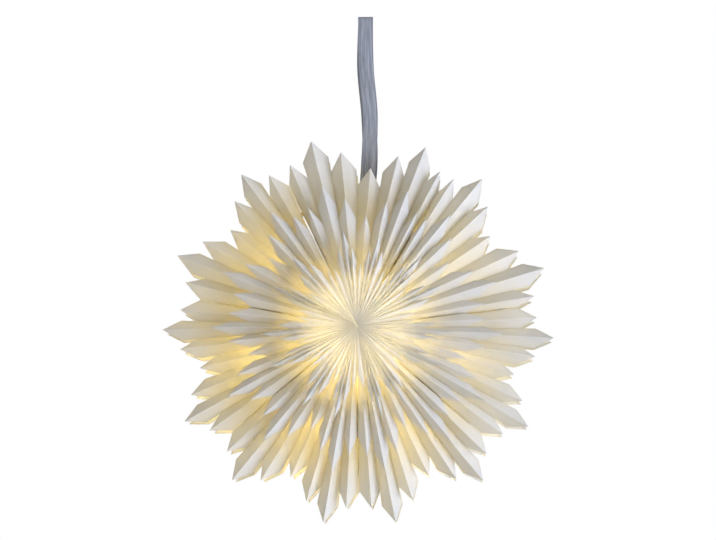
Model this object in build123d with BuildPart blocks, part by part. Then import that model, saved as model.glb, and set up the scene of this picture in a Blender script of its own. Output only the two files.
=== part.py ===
"""Pleated paper star lantern on a ribbon loop, with the battery lamp that hangs inside it.

Frame: millimetres, +Z up. The origin is the inside of the ribbon loop's top, where a hook carries it.
The star's axis lies along Y and its front faces -Y. Seven folded paper bags are glued side by
side round that axis. Each bag is a nest of three sheets (inner, middle and rim), and each sheet
has pleats on the front, the same pleats on the back, and a flat side on each seam.
"""

from build123d import *
from math import asin, atan2, cos, degrees, hypot, radians, sin, sqrt, tan
import os

os.makedirs("parts", exist_ok=True)

# ---------------------------------------------------------------- the star as it hangs
HANG_DROP = 318.0  # from the top of the ribbon loop down to the star's axis
STAR_SHIFT = -7.0  # the axis hangs this far to the side of the ribbon
ROD_RISE = 118.0  # from the star's axis up to the hanging rod
SEAMS = (7.7, 59.8, 115.6, 169.2, 219.0, 270.2, 319.7)  # degrees from +X to +Z, as the bags fan out
LEANS = (1.2, -2.3, -0.4, -0.2, 1.2, 0.8, -0.1)  # how far each bag's middle petal leans off its middle
SPREADS = (1.07, 1.06, 0.99, 0.97, 1.0, 0.99, 0.98)  # how widely each bag's petals fan out between its seams
HANG_BAG = 1  # the ribbon comes out of the bag between the second and third seams
CLOSING_SEAM = 270.2  # the last seam, closed with clips once the star is fanned out

# ---------------------------------------------------------------- the folded paper
PAPER = 0.3  # thickness of the paper
GLUE = 0.1  # glue line between two glued sheets
SHORTEST_TIP = 61.0  # radius of the shortest petals of the inner sheets
TIP_STEP = 16.6  # every longer kind of petal ends one step further out
KINDS = (0, 1, 2, 1, 0)  # short, medium, tall, medium, short petal, from the bag's middle to its seam
REACH = 200.0  # a sheet is folded out to here before its petals are cut
PLEATS_OPEN = 9.0  # nearer the axis than this the pleats are pressed together
PRESSED = 1.2  # how deep the pressed pleats lie under their valleys

# start   distance from the sheet's centre at which its pleats begin
# apex    height of the ridges above the star's middle plane, at the axis
# fall    how far a ridge comes down per millimetre outwards
# panel   width of one paper panel per millimetre outwards
# shares  angle of each ridge from the bag's middle, as a share of half the bag's opening
# slope   how far back from its tip a petal's pointed end begins
SHEETS = {
    "inner": dict(start=1.0, apex=68.0, fall=0.02, panel=0.115,
                  shares=(0, 0.24, 0.405, 0.60, 1), slope=10.0),
    "middle": dict(start=45.0, apex=54.5, fall=0.008, panel=0.106,
                   shares=(0, 0.32, 0.59, 0.86, 1), slope=13.0),
    "rim": dict(start=70.0, apex=51.0, fall=0.126, panel=0.106,
                shares=(0, 0.32, 0.59, 0.86, 1), slope=18.0),
}

CAVITY_R = 50.0  # the sides are cut away round the axis to make room for the lamp
CAVITY_HALF = 46.0
MOUTH_DEPTH = 19.0  # a rim sheet's sides are notched this deep between front and back
MOUTH_HALF = 12.0  # half the width of the notch's floor
ROD_HOLE_R = 2.4

# ---------------------------------------------------------------- the ribbon, the rod and the clips
ROD_R = 2.0
ROD_HALF = 76.0
ROD_CAP_R = 4.0
ROD_CAP_LENGTH = 10.0
ROD_CAP_END = 1.5  # closed end of a cap beyond the rod
ROD_BEVEL = 0.4
RIBBON_WIDTH = 15.0
RIBBON = 0.4  # thickness of the woven ribbon
RIBBON_LOOSE = 0.15  # the ribbon lies this far off the rod
RIBBON_LAP = 14.0  # its ends are sewn together over this length, just above the rod
LAP_NARROWER = 1.0  # the cut end is trimmed a little narrower than the ribbon
FRONT_SWAY = (0.8, 4.8, 3.0)  # how far the front strand strays to the right at each quarter of its fall
BACK_SWAY = (-1.0, 3.2, 4.4)
CLIP_LEG = 12.0  # the clips that close the star reach this far over the paper
CLIP_WIDE = 8.0
CLIP_WIRE = 0.5
CLIP_APART = 7.0  # from the middle plane to each clip
CLIP_SLACK = 0.05
CLIP_HEAD_GAP = 0.2  # between the paper's edge and the clip's bend

# ---------------------------------------------------------------- the battery lamp, down from the rod
BORE_FIT = 0.1  # radial clearance of the lamp's lugs on the rod
LUG_INSIDE = 9.5  # half the gap between the lugs, in which the ribbon turns round the rod
LUG = 3.0
LUG_R = 4.5
CAP_TOP = 9.0  # below the rod
CAP_DISC = 4.0
CAP_SPIGOT = 2.0
TUBE_R = 14.0
TUBE_WALL = 1.6
TUBE_LENGTH = 52.0
TUBE_FLOOR = 2.0
CELL_R = 5.2
CELL_LENGTH = 44.5
CELL_SPREAD = 6.15  # from the tube's middle to the middle of each cell
COVER_HALF = 10.5
COVER_GAP = 0.3
COVER_FROM, COVER_LONG = 6.0, 40.0
COVER_RIBS = 4  # raised thumb ribs, each this wide, thick and high
COVER_RIB = (9.0, 0.8, 0.7)
COVER_RIB_PITCH = 1.6
CELL_REST = 3.2  # the cells stand on springs, this far above the tube's floor
CELL_BUTTON_R = 1.9
CELL_BUTTON = 1.0
SPRING_LEAF = 0.3  # the springs are bent leaves of this thickness
SPRING_WIDE = 4.0
SPRING_FOOT = 6.4  # length of a leaf's foot
SPRING_TOP = (0.1, 1.3)  # where the leaf's flat top begins and ends, from the middle of its foot
CONTACT = 0.4  # thickness of the contact plates under the cap
CONTACT_WIDE = 6.0
CONTACT_LINK = 3.0
SWITCH_RISE = 6.0  # from the tube's floor to the middle of the switch's slot
SWITCH_TRAVEL = 4.0
SWITCH_KNOB = (3.4, 4.0)
SWITCH_PLATE = (5.0, 0.8, 6.0)  # behind the slot, wider than it
SWITCH_SLACK = 0.2
SWITCH_STANDS = 1.4  # the knob stands this far out of the tube
SWITCH_GROOVES = (0.3, 0.5, 1.2)  # depth, height and spacing of the knob's three thumb grooves
LEAD_R = 0.5  # the two leads from the battery tube down to the board
LEAD_AT = (3.5, 1.5)
NECK_R = 9.5
NECK_BORE_R = 6.4
NECK_LENGTH = 27.0
NECK_RIM = 2.0
COLLAR_R = 8.4
COLLAR_LENGTH = 7.0
BOARD = 1.2
LED_WIDE, LED_HIGH = 5.0, 1.8
DIFFUSER_R = 18.0
DIFFUSER_WALL = 1.2
DIFFUSER_LENGTH = 34.0
DIFFUSER_MOUTH = 3.0  # its straight mouth is pushed over the neck's collar
DIFFUSER_GAP = 0.3
SNUG = 0.05  # gap between lamp pieces that are pushed together

star_centre = Vector(STAR_SHIFT, 0, -HANG_DROP)
rod_centre = Vector(0, 0, ROD_RISE - HANG_DROP)
face_on = Plane(origin=star_centre, x_dir=(1, 0, 0), z_dir=(0, -1, 0))  # x right, y up, z to the front


def finish(part, name):
    """Names a finished piece and writes it."""
    part.part.label = name
    export_step(part.part, f"parts/{name}.step")


def polar(radius, angle):
    """The point at this radius and angle."""
    return radius * cos(radians(angle)), radius * sin(radians(angle))


def facing(angle):
    """A direction in the star's middle plane, as a vector of the whole model."""
    across, up = polar(1, angle)
    return Vector(across, 0, up)


def inwards(points, distance):
    """A closed counter-clockwise outline moved inwards, its corners kept sharp."""
    moved = []
    for before, here, after in zip(points[-1:] + points[:-1], points, points[1:] + points[:1]):
        ax, ay = here[0] - before[0], here[1] - before[1]
        bx, by = after[0] - here[0], after[1] - here[1]
        a, b = hypot(ax, ay), hypot(bx, by)
        nx, ny = -ay / a - by / b, ax / a + bx / b
        scale = 2 * distance / (nx * nx + ny * ny)
        moved.append((here[0] + nx * scale, here[1] + ny * scale))
    return moved


class Sheet:
    """The fold lines of one sheet of one bag. They all run straight out from the sheet's own centre."""

    def __init__(self, name, bag):
        first, last = SEAMS[bag], SEAMS[(bag + 1) % len(SEAMS)]
        self.size = SHEETS[name]
        self.half = (last - first) % 360 / 2
        self.middle = first + self.half
        self.order = list(SHEETS).index(name)
        self.shortest = SHORTEST_TIP + TIP_STEP * 3 * self.order
        self.closing = (PAPER + GLUE) / (TIP_STEP * 3) if self.order else 0.0
        self.side = self.half + degrees(asin(self.closing))
        shift = self.seam_gap(0) / sin(radians(self.half))
        self.centre = star_centre + facing(self.middle) * shift
        both_sides = [-share for share in self.size["shares"][:0:-1]] + list(self.size["shares"])
        self.ridges = [self.fanned(share, bag) for share in both_sides]
        self.valleys = []
        for a, b in zip(self.ridges, self.ridges[1:]):
            self.valleys.append(degrees(atan2(tan(radians(a)) + tan(radians(b)), 2)))
        self.tips = [self.shortest - shift + TIP_STEP * kind for kind in KINDS[:0:-1] + KINDS]

    def seam_gap(self, radius):
        """From a seam to this side, which lies inside the sheet before and meets the seam at its end."""
        return GLUE / 2 + self.closing * (self.shortest - radius)

    def fanned(self, share, bag):
        """Angle of a ridge from the bag's middle. The ridges on the seams stay where they are."""
        if abs(share) == 1:
            return share * self.side
        return share * self.half * SPREADS[bag] + LEANS[bag] * (1 - abs(share))

    def ridge_height(self, distance):
        """Height of the ridges above the star's middle plane, this far out."""
        return self.size["apex"] - self.size["fall"] * distance

    def across(self, distance):
        """The plane across the bag at this distance: x runs along the rim and y to the front."""
        out = facing(self.middle)
        return Plane(origin=self.centre + out * distance, x_dir=facing(self.middle + 90), z_dir=out)

    def cut_across(self, distance, inside=0.0):
        """Corners of the folded sheet, or of a surface that lies inside it, cut across at this distance."""
        outline = self.folds(distance)
        if inside:
            outline = inwards(outline, inside)
        plane = self.across(distance)
        return [plane.from_local_coords(Vector(x, y, 0)) for x, y in outline]

    def folds(self, distance):
        """The folded sheet cut across at this distance: back pleats, side, front pleats, side."""
        top = self.ridge_height(distance)
        back = [(distance * tan(radians(self.ridges[0])), -top)]
        for a, b in zip(self.ridges, self.ridges[1:]):
            half_pitch = (tan(radians(b)) - tan(radians(a))) / 2
            depth = sqrt(self.size["panel"] ** 2 - half_pitch**2)
            here = distance * tan(radians(b))
            back.append((here - half_pitch * distance, depth * distance - top))
            back.append((here, -top))
        return back + [(x, -y) for x, y in back[::-1]]

    def core(self, distance):
        """Corners of the plain hollow under the pressed pleats, near the axis."""
        side = distance * tan(radians(self.side)) - PAPER
        lid = self.ridge_height(distance) - self.size["panel"] * distance - PRESSED
        plane = self.across(distance)
        return [plane.from_local_coords(Vector(x, y, 0))
                for x, y in ((-side, -lid), (side, -lid), (side, lid), (-side, lid))]

    def petals(self):
        """The face-on outline: every petal's tip and shoulders, with straight cuts down the valleys."""
        beyond = 2.0
        start, end = self.middle - self.side - beyond, self.middle + self.side + beyond
        points = [polar(-beyond, self.middle), polar(self.tips[0], start)]
        for number, ridge in enumerate(self.ridges):
            shoulder = self.tips[number] - self.size["slope"]
            if number:
                points.append(polar(shoulder, self.middle + self.valleys[number - 1]))
            points.append(polar(self.tips[number], self.middle + ridge))
            if number < len(self.valleys):
                points.append(polar(shoulder, self.middle + self.valleys[number]))
        return points + [polar(self.tips[-1], end)]

    def notch(self):
        """The mouth's notch in a side, with x out along the seam and y to the back."""
        tip = self.tips[0]
        lip = self.ridge_height(tip * cos(radians(self.side)))
        return [(tip + 1, lip), (tip - MOUTH_DEPTH, MOUTH_HALF),
                (tip - MOUTH_DEPTH, -MOUTH_HALF), (tip + 1, -lip)]


# ---------------------------------------------------------------- the twenty-one paper sheets
def flat_sided(near, far):
    """The solid between two like outlines, with one flat face for each paper panel."""
    faces = [Face(Wire.make_polygon(near)), Face(Wire.make_polygon(far))]
    for a, b, c, d in zip(near, near[1:] + near[:1], far[1:] + far[:1], far):
        faces.append(Face(Wire.make_polygon([a, b, c, d])))
    return Solid(Shell(faces))


def make_sheet(name, bag):
    sheet = Sheet(name, bag)
    start = sheet.size["start"]
    with BuildPart() as folded:
        add(flat_sided(sheet.cut_across(start), sheet.cut_across(REACH)))
        hollow_from = max(start, PLEATS_OPEN)
        hollow = flat_sided(sheet.cut_across(hollow_from, PAPER), sheet.cut_across(REACH, PAPER))
        add(hollow, mode=Mode.SUBTRACT)
        if start < PLEATS_OPEN:
            add(flat_sided(sheet.core(start), sheet.core(PLEATS_OPEN)), mode=Mode.SUBTRACT)
        with BuildSketch(Plane(origin=sheet.centre, x_dir=(1, 0, 0), z_dir=(0, -1, 0))):
            with BuildLine():
                Polyline(*sheet.petals(), close=True)
            make_face()
        extrude(amount=2 * sheet.size["apex"], both=True, mode=Mode.INTERSECT)
        if start < CAVITY_R:
            with Locations(face_on):
                Cylinder(CAVITY_R, 2 * CAVITY_HALF, mode=Mode.SUBTRACT)
        if name == "rim":
            for side in (-sheet.side, sheet.side):
                seam = facing(sheet.middle + side)
                across = facing(sheet.middle + side + 90)
                with BuildSketch(Plane(origin=sheet.centre, x_dir=seam, z_dir=across)):
                    with BuildLine():
                        Polyline(*sheet.notch(), close=True)
                    make_face()
                extrude(amount=2 * PAPER, both=True, mode=Mode.SUBTRACT)
            if abs(bag - HANG_BAG) < 2:
                with Locations(rod_centre):
                    Cylinder(ROD_HOLE_R, 2 * ROD_HALF, rotation=(0, 90, 0), mode=Mode.SUBTRACT)
    return folded


for sheet_name in SHEETS:
    for bag_number in range(len(SEAMS)):
        finish(make_sheet(sheet_name, bag_number), f"{sheet_name}_sheet_{bag_number + 1}")


# ---------------------------------------------------------------- ribbon loop
def ribbon_run(sway):
    """The left and right edges of one strand, from the top fold down to the rod."""
    x = [0, *sway, 0]
    top, foot = -ribbon_r, rod_centre.Z
    z = [top + (foot - top) * part / 4 for part in range(5)]
    left = [(a - RIBBON_WIDTH / 2, b) for a, b in zip(x, z)]
    right = [(a + RIBBON_WIDTH / 2, b) for a, b in zip(x, z)]
    return left, right


ribbon_r = ROD_R + RIBBON_LOOSE  # inside radius of the folds at the hook and round the rod
with BuildPart() as ribbon:
    for side, sway in ((-1, FRONT_SWAY), (1, BACK_SWAY)):
        left, right = ribbon_run(sway)
        with BuildSketch(Plane.XZ.offset(-side * ribbon_r)):  # the front strand lies on the -Y side
            with BuildLine():
                Spline(*left, tangents=((0, -1), (0, -1)))
                Line(left[-1], right[-1])
                Spline(*right[::-1], tangents=((0, 1), (0, 1)))
                Line(right[0], left[0])
            make_face()
        extrude(amount=-side * RIBBON)
    for height, turn in ((-ribbon_r, 0), (rod_centre.Z, 180)):
        with BuildSketch(Plane(origin=(0, 0, height), x_dir=(0, 1, 0), z_dir=(1, 0, 0))):
            with BuildLine():
                CenterArc((0, 0), ribbon_r + RIBBON, turn, 180)
                CenterArc((0, 0), ribbon_r, turn, 180)
                Line(polar(ribbon_r, turn), polar(ribbon_r + RIBBON, turn))
                Line(polar(ribbon_r, turn + 180), polar(ribbon_r + RIBBON, turn + 180))
            make_face()
        extrude(amount=RIBBON_WIDTH / 2, both=True)
    with Locations((0, ribbon_r + 1.5 * RIBBON, rod_centre.Z + RIBBON_LAP / 2)):
        Box(RIBBON_WIDTH - LAP_NARROWER, RIBBON, RIBBON_LAP)
finish(ribbon, "ribbon_loop")


# ---------------------------------------------------------------- hanging rod, end caps and closing clips
with BuildPart() as rod:
    with Locations(rod_centre):
        Cylinder(ROD_R, 2 * ROD_HALF, rotation=(0, 90, 0))
    chamfer(rod.edges().filter_by(GeomType.CIRCLE), ROD_BEVEL)
finish(rod, "hanging_rod")

with BuildPart() as rod_caps:
    for side in (-1, 1):
        closed = side * (ROD_HALF + ROD_CAP_END)
        outwards = Plane(origin=rod_centre + Vector(closed, 0, 0), x_dir=(0, 1, 0), z_dir=(-side, 0, 0))
        with BuildSketch(outwards):
            Circle(ROD_CAP_R)
        extrude(amount=ROD_CAP_LENGTH)
        with BuildSketch(outwards.offset(ROD_CAP_END)):
            Circle(ROD_R + SNUG / 2)
        extrude(amount=ROD_CAP_LENGTH, mode=Mode.SUBTRACT)
finish(rod_caps, "rod_end_caps")

rim_sheet = Sheet("rim", SEAMS.index(CLOSING_SEAM))
paper_edge = rim_sheet.shortest - MOUTH_DEPTH
for name, side in (("closing_clip_front", -1), ("closing_clip_back", 1)):
    with BuildPart() as clip:
        middle = star_centre + Vector(0, side * CLIP_APART, 0)
        with BuildSketch(Plane(origin=middle, x_dir=facing(CLOSING_SEAM), z_dir=(0, -1, 0))):
            crown = paper_edge + CLIP_HEAD_GAP
            gap = rim_sheet.seam_gap(paper_edge - CLIP_LEG) + PAPER + CLIP_SLACK
            with Locations((crown + CLIP_WIRE, 0)):
                Rectangle(CLIP_LEG, 2 * (gap + CLIP_WIRE), align=(Align.MAX, Align.CENTER))
            with Locations((crown, 0)):
                Rectangle(CLIP_LEG, 2 * gap, align=(Align.MAX, Align.CENTER), mode=Mode.SUBTRACT)
        extrude(amount=CLIP_WIDE / 2, both=True)
    finish(clip, name)


# ---------------------------------------------------------------- battery lamp
cap_top = rod_centre.Z - CAP_TOP
tube_top = cap_top - CAP_DISC
tube_foot = tube_top - TUBE_LENGTH
bore_r = TUBE_R - TUBE_WALL
neck_foot = tube_foot - NECK_LENGTH
collar_foot = neck_foot - COLLAR_LENGTH

with BuildPart() as lamp_cap:
    with BuildSketch(Plane.XY.offset(cap_top)):
        Circle(TUBE_R)
    extrude(amount=-CAP_DISC)
    with BuildSketch(Plane.XY.offset(tube_top)):
        Circle(bore_r - SNUG)
        Circle(bore_r - TUBE_WALL, mode=Mode.SUBTRACT)
    extrude(amount=-CAP_SPIGOT)
    for start in (LUG_INSIDE, -LUG_INSIDE - LUG):
        with BuildSketch(Plane(origin=(start, 0, rod_centre.Z), x_dir=(0, 1, 0), z_dir=(1, 0, 0))):
            Circle(LUG_R)
            with Locations((0, -CAP_TOP / 2)):
                Rectangle(2 * LUG_R, CAP_TOP)
            Circle(ROD_R + BORE_FIT, mode=Mode.SUBTRACT)
        extrude(amount=LUG)
finish(lamp_cap, "lamp_cap")

cover_top = tube_top - COVER_FROM
cover_middle = cover_top - COVER_LONG / 2
floor_top = tube_foot + TUBE_FLOOR
switch_z = floor_top + SWITCH_RISE
slider_z = switch_z + SWITCH_TRAVEL / 2
cell_angles = (90, 210, 330)
lead_holes = [(-LEAD_AT[0], LEAD_AT[1]), LEAD_AT]
with BuildPart() as tube:
    with BuildSketch(Plane.XY.offset(tube_top)):
        Circle(TUBE_R)
        Circle(bore_r, mode=Mode.SUBTRACT)
    extrude(amount=-TUBE_LENGTH)
    with BuildSketch(Plane.XY.offset(tube_foot)):
        Circle(TUBE_R)
        with Locations(*lead_holes):
            Circle(LEAD_R + BORE_FIT, mode=Mode.SUBTRACT)
    extrude(amount=TUBE_FLOOR)
    with Locations((0, TUBE_R, cover_middle)):
        Box(2 * COVER_HALF, 2 * TUBE_R, COVER_LONG, mode=Mode.SUBTRACT)
    slot_width = SWITCH_KNOB[0] + 2 * SWITCH_SLACK
    slot_height = SWITCH_KNOB[1] + SWITCH_TRAVEL + 2 * SWITCH_SLACK
    with Locations((0, -TUBE_R, switch_z)):
        Box(slot_width, 4 * TUBE_WALL, slot_height, mode=Mode.SUBTRACT)
finish(tube, "battery_tube")

with BuildPart() as cover:
    with BuildSketch(Plane.XY.offset(cover_top - COVER_GAP)):
        Circle(TUBE_R)
        Circle(bore_r, mode=Mode.SUBTRACT)
        with Locations((0, TUBE_R)):
            Rectangle(2 * (COVER_HALF - COVER_GAP), 2 * TUBE_R, mode=Mode.INTERSECT)
    extrude(amount=2 * COVER_GAP - COVER_LONG)
    for rib in range(COVER_RIBS):
        with Locations((0, TUBE_R, cover_top - COVER_FROM - COVER_RIB_PITCH * rib)):
            Box(*COVER_RIB)
finish(cover, "battery_cover")

for number, angle in enumerate(cell_angles):
    with BuildPart() as cell:
        can_foot = floor_top + CELL_REST
        can_length = CELL_LENGTH - CELL_BUTTON
        with BuildSketch(Plane.XY.offset(can_foot)):
            with Locations(polar(CELL_SPREAD, angle)):
                Circle(CELL_R)
        extrude(amount=can_length)
        with BuildSketch(Plane.XY.offset(can_foot + can_length)):
            with Locations(polar(CELL_SPREAD, angle)):
                Circle(CELL_BUTTON_R)
        extrude(amount=CELL_BUTTON)
    finish(cell, f"battery_cell_{number + 1}")

with BuildPart() as upper_contacts:
    with BuildSketch(Plane.XY.offset(tube_top)):
        with Locations(*[polar(CELL_SPREAD, angle) for angle in cell_angles]):
            Rectangle(CONTACT_WIDE, CONTACT_WIDE)
        with Locations((0, -CELL_SPREAD / 2)):
            Rectangle(2 * CELL_SPREAD * cos(radians(30)), CONTACT_LINK)
    extrude(amount=-CONTACT)
finish(upper_contacts, "upper_contacts")

with BuildPart() as springs:
    leaf_top = CELL_REST - SNUG
    for angle in cell_angles:
        across, along = polar(CELL_SPREAD, angle)
        foot = (across - SPRING_WIDE / 2, along, floor_top)
        with BuildSketch(Plane(origin=foot, x_dir=(0, 1, 0), z_dir=(1, 0, 0))):
            with BuildLine():
                half = SPRING_FOOT / 2
                Polyline((half, 0), (half, SPRING_LEAF), (-half + 2 * SPRING_LEAF, SPRING_LEAF),
                         (SPRING_TOP[1], leaf_top), (SPRING_TOP[0], leaf_top), (-half, 0), close=True)
            make_face()
        extrude(amount=SPRING_WIDE)
finish(springs, "battery_springs")

with BuildPart() as slider:
    plate_edge = sqrt(bore_r**2 - (SWITCH_PLATE[0] / 2) ** 2)  # the plate's edges meet the round bore first
    plate_back = plate_edge - SNUG - SWITCH_PLATE[1]
    with Locations((0, -plate_back - SWITCH_PLATE[1] / 2, slider_z)):
        Box(*SWITCH_PLATE)
    with BuildSketch(Plane.XZ.offset(plate_back)):
        with Locations((0, slider_z)):
            Rectangle(*SWITCH_KNOB)
    extrude(amount=TUBE_R + SWITCH_STANDS - plate_back)
    deep, high, pitch = SWITCH_GROOVES
    for groove in (-1, 0, 1):
        with Locations((0, -TUBE_R - SWITCH_STANDS, slider_z + pitch * groove)):
            Box(SWITCH_PLATE[0], 2 * deep, high, mode=Mode.SUBTRACT)
finish(slider, "switch_slider")

with BuildPart() as neck:
    with BuildSketch(Plane.XZ):
        with BuildLine():
            rim_foot = tube_foot - NECK_RIM
            Polyline((NECK_BORE_R, tube_foot), (TUBE_R, tube_foot), (TUBE_R, rim_foot),
                     (NECK_R, rim_foot), (NECK_R, neck_foot),
                     (COLLAR_R, neck_foot), (COLLAR_R, collar_foot),
                     (NECK_BORE_R, collar_foot), (NECK_BORE_R, tube_foot))
        make_face()
    revolve(axis=Axis.Z)
finish(neck, "lamp_neck")

with BuildPart() as leads:
    with BuildSketch(Plane.XY.offset(collar_foot)):
        with Locations(*lead_holes):
            Circle(LEAD_R)
    extrude(amount=floor_top - collar_foot)
finish(leads, "lamp_leads")

with BuildPart() as board:
    with BuildSketch(Plane.XY.offset(collar_foot)):
        Circle(COLLAR_R - 1)
    extrude(amount=-BOARD)
finish(board, "led_board")

with BuildPart() as led:
    with BuildSketch(Plane.XY.offset(collar_foot - BOARD)):
        Rectangle(LED_WIDE, LED_WIDE)
    extrude(amount=-LED_HIGH)
    chamfer(led.faces().sort_by(Axis.Z)[0].edges(), LED_HIGH / 2)
finish(led, "led_chip")

with BuildPart() as diffuser:
    seat = COLLAR_R + SNUG
    mouth_r = seat + DIFFUSER_WALL
    mouth_top = neck_foot - DIFFUSER_GAP
    shoulder = mouth_top - DIFFUSER_MOUTH
    foot = shoulder - DIFFUSER_LENGTH
    inside = DIFFUSER_R - DIFFUSER_WALL
    with BuildSketch(Plane.XZ):
        with BuildLine():
            Polyline((seat, mouth_top), (mouth_r, mouth_top), (mouth_r, shoulder), (DIFFUSER_R, shoulder),
                     (DIFFUSER_R, foot), (0, foot), (0, foot + DIFFUSER_WALL), (inside, foot + DIFFUSER_WALL),
                     (inside, shoulder - DIFFUSER_WALL), (seat, shoulder - DIFFUSER_WALL), close=True)
        make_face()
    revolve(axis=Axis.Z)
finish(diffuser, "lamp_diffuser")
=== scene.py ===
# %% [markdown]
# # A pleated paper star that glows
#
# A round lantern of nested, pleated paper petals hangs on a woven ribbon, with a small
# battery lamp inside. The construction comes in as a fixed model, already in metres and in its
# place. This lesson gives it paper, ribbon, wood and plastic to look at, and a camera and light.

import math
import random

import bpy
from mathutils import Matrix, Vector, noise


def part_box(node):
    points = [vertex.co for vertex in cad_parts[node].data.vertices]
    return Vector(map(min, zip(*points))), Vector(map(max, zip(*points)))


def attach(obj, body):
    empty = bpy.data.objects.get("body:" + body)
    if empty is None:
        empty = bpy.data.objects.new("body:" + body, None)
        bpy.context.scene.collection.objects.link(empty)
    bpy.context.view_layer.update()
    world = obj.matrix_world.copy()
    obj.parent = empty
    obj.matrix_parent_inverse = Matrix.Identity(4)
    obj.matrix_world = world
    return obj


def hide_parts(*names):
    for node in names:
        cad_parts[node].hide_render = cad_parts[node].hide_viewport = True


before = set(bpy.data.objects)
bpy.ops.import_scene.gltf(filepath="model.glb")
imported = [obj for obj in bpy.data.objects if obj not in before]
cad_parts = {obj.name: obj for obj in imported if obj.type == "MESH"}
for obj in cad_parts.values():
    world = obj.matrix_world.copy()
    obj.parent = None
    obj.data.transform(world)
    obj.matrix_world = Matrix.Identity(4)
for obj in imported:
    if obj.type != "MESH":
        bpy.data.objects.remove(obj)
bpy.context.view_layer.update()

# %% [markdown]
# ## Where the camera stands
#
# The star is seen almost face on, from a little below and a little to the right. A camera is
# easiest to place by two angles and a distance from the star's middle, and is then turned until
# the star sits low in the frame, with the ribbon rising to the top. The petals of the back
# show beside those of the front by 5 mm or less all round, so the perspective is mild: a long
# lens from 3 m.

# %% The camera
MM = 0.001
rod_low, rod_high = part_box("hanging_rod")
ROD_MIDDLE = (Vector(rod_low) + Vector(rod_high)) / 2
ROD_ASIDE, ROD_RISE = 7 * MM, 118 * MM  # the rod's middle, to the right of the star's axis and over it
STAR_CENTRE = ROD_MIDDLE - Vector((ROD_ASIDE, 0, ROD_RISE))
CAMERA_AWAY = 3.0
FROM_BELOW = math.radians(4.9)
FROM_RIGHT = math.radians(1.6)
FRAME_WIDTH = 714.4 * MM  # what the frame spans at the star
SENSOR = 36  # the width of a full-frame sensor, in the millimetres that Blender gives lenses in
AIM = Vector((1.3 * MM, -68 * MM, 54.5 * MM))  # what the camera looks at, from the star's centre

towards_camera = Vector(
    (
        math.sin(FROM_RIGHT) * math.cos(FROM_BELOW),
        -math.cos(FROM_RIGHT) * math.cos(FROM_BELOW),
        -math.sin(FROM_BELOW),
    )
)
camera_data = bpy.data.cameras.new("camera")
camera = bpy.data.objects.new("camera", camera_data)
bpy.context.scene.collection.objects.link(camera)
camera.location = STAR_CENTRE + towards_camera * CAMERA_AWAY
camera.rotation_euler = (STAR_CENTRE + AIM - camera.location).to_track_quat("-Z", "Y").to_euler()
camera_data.sensor_width = SENSOR
camera_data.lens = SENSOR * CAMERA_AWAY / FRAME_WIDTH
bpy.context.scene.camera = camera
print("camera at", [round(x, 3) for x in camera.location], "lens", round(camera_data.lens, 1))

# %% [markdown]
# ## Small helpers
#
# A colour is written as the hex value that a paint or print shop would give, and one function
# turns it into the linear numbers that the renderer works with. One more function adds a node
# to a material, with its settings and links, so that each material reads from top to bottom. The
# last two start a material and put it on a mesh.

# %% Colours, nodes and materials
MIX_COLOURS = {"data_type": "RGBA"}  # makes a mix node mix colours: its inputs 6 and 7


def linear(code):
    """A hex colour such as "#f4f1e8" as linear red, green, blue and alpha."""
    values = [int(code[i : i + 2], 16) / 255 for i in (1, 3, 5)]
    return [v / 12.92 if v <= 0.04045 else ((v + 0.055) / 1.055) ** 2.4 for v in values] + [1.0]


def add_node(material, kind, settings=None, **links):
    """Adds a node. settings go to its attributes, links to its inputs: a value or another socket.

    An input is called by its name, or by its number as i0, i1 and so on.
    """
    node = material.node_tree.nodes.new(kind)
    for name, value in (settings or {}).items():
        setattr(node, name, value)
    for name, value in links.items():
        key = int(name[1:]) if name[0] == "i" and name[1:].isdigit() else name.replace("_", " ")
        if isinstance(value, bpy.types.NodeSocket):
            material.node_tree.links.new(value, node.inputs[key])
        else:
            node.inputs[key].default_value = value
    return node


def new_material(name):
    """A material without nodes."""
    material = bpy.data.materials.new(name)
    material.use_nodes = True
    material.node_tree.nodes.clear()
    return material


def wear(mesh, material):
    """Puts one material on a whole mesh."""
    mesh.materials.clear()
    mesh.materials.append(material)


# %% [markdown]
# ## Surroundings
#
# The star hangs in front of plain white. The world is white only to the camera and in
# reflections, and a plain level of soft cool grey to the star, so the background doesn't wash out
# the paper.

# %% The world
LARGER = {"operation": "MAXIMUM"}
AMBIENT = 0.34  # how strongly the surroundings light the star

bpy.context.scene.view_settings.view_transform = "Standard"
world = bpy.data.worlds.new("studio")
bpy.context.scene.world = world
world.use_nodes = True
world.node_tree.nodes.clear()
ray = add_node(world, "ShaderNodeLightPath").outputs
seen = add_node(world, "ShaderNodeMath", LARGER, i0=ray["Is Camera Ray"], i1=ray["Is Glossy Ray"])
seen = add_node(world, "ShaderNodeMath", LARGER, i0=seen.outputs[0], i1=ray["Is Transmission Ray"])
ambient = add_node(world, "ShaderNodeBackground", Color=linear("#e2e9f6"), Strength=AMBIENT)
white = add_node(world, "ShaderNodeBackground", Color=linear("#ffffff"), Strength=1.0)
both = add_node(world, "ShaderNodeMixShader", Fac=seen.outputs[0], i1=ambient.outputs[0], i2=white.outputs[0])
add_node(world, "ShaderNodeOutputWorld", Surface=both.outputs[0])
print("world with", len(world.node_tree.nodes), "nodes")

# %% [markdown]
# ## Lamps and floor
#
# One broad cool lamp from the right, a little lower than the star, gives each upright petal a
# light and a shaded half, and leaves the petals on the right nearly even. A weak warm lamp in
# front and further down fills the shade. The pale floor gives off some light that only the
# camera sees, so it doesn't look grey where the lamps are weak.

# %% The lamps
STUDIO_LAMPS = (  # name, place, width in metres, watts, colour
    ("key_from_right", (2.3, -1.1, -0.6), 1.4, 60, "#dbe5ff"),
    ("fill_from_below", (-0.4, -1.7, -1.1), 1.2, 9, "#fff3dc"),
)


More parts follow.
